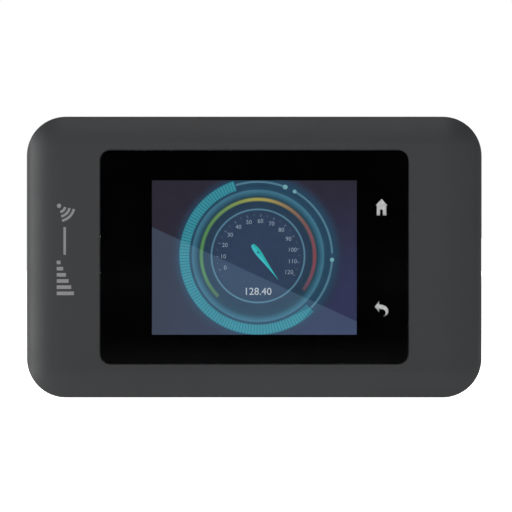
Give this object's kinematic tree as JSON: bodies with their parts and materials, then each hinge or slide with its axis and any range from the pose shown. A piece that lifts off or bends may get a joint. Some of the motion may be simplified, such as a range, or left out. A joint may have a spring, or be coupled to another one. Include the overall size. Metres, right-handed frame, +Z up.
{
  "type": "mobile hotspot",
  "caption": "Flat pocket mobile hotspot: colour touch display behind flush black glass, curved ends, lift-off back cover, removable battery, pull-out SIM card and top power button.",
  "frame": {"origin": "middle of the long edge that it stands on, at the surface under it", "axes": "+X to the right seen from the display side, +Y towards the back cover (the display faces -Y), +Z up the display"},
  "size_m": [0.1084, 0.0154, 0.0669],
  "materials": {
    "casing": "satin, fine texture",
    "inner_housing": "matte",
    "cover_glass": "polished",
    "black_print": "printed",
    "adhesive": "tape",
    "touch_film": "clear",
    "flex_tail": "polyimide",
    "display_metal": "plain",
    "light_film": "diffuser",
    "display_glass": "polarised",
    "foam": "foam",
    "light_guide": "translucent",
    "led": "clear",
    "board": "solder mask",
    "screw_steel": "plated",
    "shield_metal": "tinned",
    "chip": "moulded",
    "thermal_pad": "soft",
    "ceramic": "ceramic",
    "connector": "moulded",
    "antenna_copper": "etched",
    "gold_contact": "gold plated",
    "card_plastic": "satin",
    "port_steel": "bright",
    "button": "satin",
    "plunger": "moulded",
    "battery_wrap": "wrapped",
    "battery_cap": "moulded",
    "label": "film"
  },
  "bodies": {
    "main_body": {"front_housing": "casing", "rear_housing": "inner_housing", "cover_glass": "cover_glass", "window_mask": "black_print", "glass_adhesive": "adhesive", "touch_sensor": "touch_film", "touch_flex": "flex_tail", "display_frame": "display_metal", "backlight": "light_film", "display_panel": "display_glass", "display_flex": "flex_tail", "display_foam": "foam", "key_light_guide": "light_guide", "key_leds": "led", "main_board": "board", "case_screws": "screw_steel", "board_screws": "screw_steel", "modem_shield_frame": "shield_metal", "modem_shield_can": "shield_metal", "radio_shield_frame": "shield_metal", "radio_shield_can": "shield_metal", "modem_chip": "chip", "memory_chip": "chip", "power_chip": "chip", "transceiver_chip": "chip", "amplifier_chip": "chip", "wifi_chip": "chip", "thermal_pad": "thermal_pad", "board_capacitors": "ceramic", "display_connector": "connector", "touch_connector": "connector", "main_antenna": "antenna_copper", "diversity_antenna": "antenna_copper", "wifi_antenna": "antenna_copper", "antenna_clips": "gold_contact", "card_socket_base": "connector", "card_contacts": "gold_contact", "card_socket_cage": "shield_metal", "charging_port_shell": "port_steel", "charging_port_tongue": "connector", "power_switch": "connector", "reset_switch": "connector", "battery_connector": "connector", "battery_contacts": "gold_contact", "information_label": "label"},
    "cover_body": {"battery_cover": "casing"},
    "battery_body": {"battery_cell": "battery_wrap", "battery_end_cap": "battery_cap", "battery_terminals": "gold_contact", "battery_label": "label"},
    "card_body": {"sim_card": "card_plastic", "sim_card_pads": "gold_contact"},
    "power_button_body": {"power_button": "button"},
    "power_plunger_body": {"power_switch_plunger": "plunger"},
    "reset_button_body": {"reset_button": "button"},
    "reset_plunger_body": {"reset_switch_plunger": "plunger"}
  },
  "joints": [
    {"name": "battery_lift", "type": "slide", "parent": "main_body", "child": "battery_body", "axis": [0, 1, 0], "range_m": [0, 0.012]},
    {"name": "back_cover_lift", "type": "slide", "parent": "main_body", "child": "cover_body", "axis": [0, 1, 0], "range_m": [0, 0.03]},
    {"name": "sim_card_slide", "type": "slide", "parent": "main_body", "child": "card_body", "axis": [0, 0, 1], "range_m": [0, 0.012]},
    {"name": "power_button_press", "type": "slide", "parent": "main_body", "child": "power_button_body", "axis": [0, 0, -1], "range_m": [0, 0.0003], "stiffness_N_per_m": 400, "springref_m": -0.0005},
    {"name": "power_switch_press", "type": "slide", "parent": "main_body", "child": "power_plunger_body", "axis": [0, 0, -1], "range_m": [0, 0.0003]},
    {"name": "reset_button_press", "type": "slide", "parent": "main_body", "child": "reset_button_body", "axis": [0, -1, 0], "range_m": [0, 0.00025], "stiffness_N_per_m": 300, "springref_m": -0.0004},
    {"name": "reset_switch_press", "type": "slide", "parent": "main_body", "child": "reset_plunger_body", "axis": [0, -1, 0], "range_m": [0, 0.00025]}
  ],
  "couplings": [
    {"joint": "back_cover_lift", "follows": "battery_lift", "ratio": 2.5},
    {"joint": "power_switch_press", "follows": "power_button_press", "ratio": 1},
    {"joint": "reset_switch_press", "follows": "reset_button_press", "ratio": 1}
  ]
}
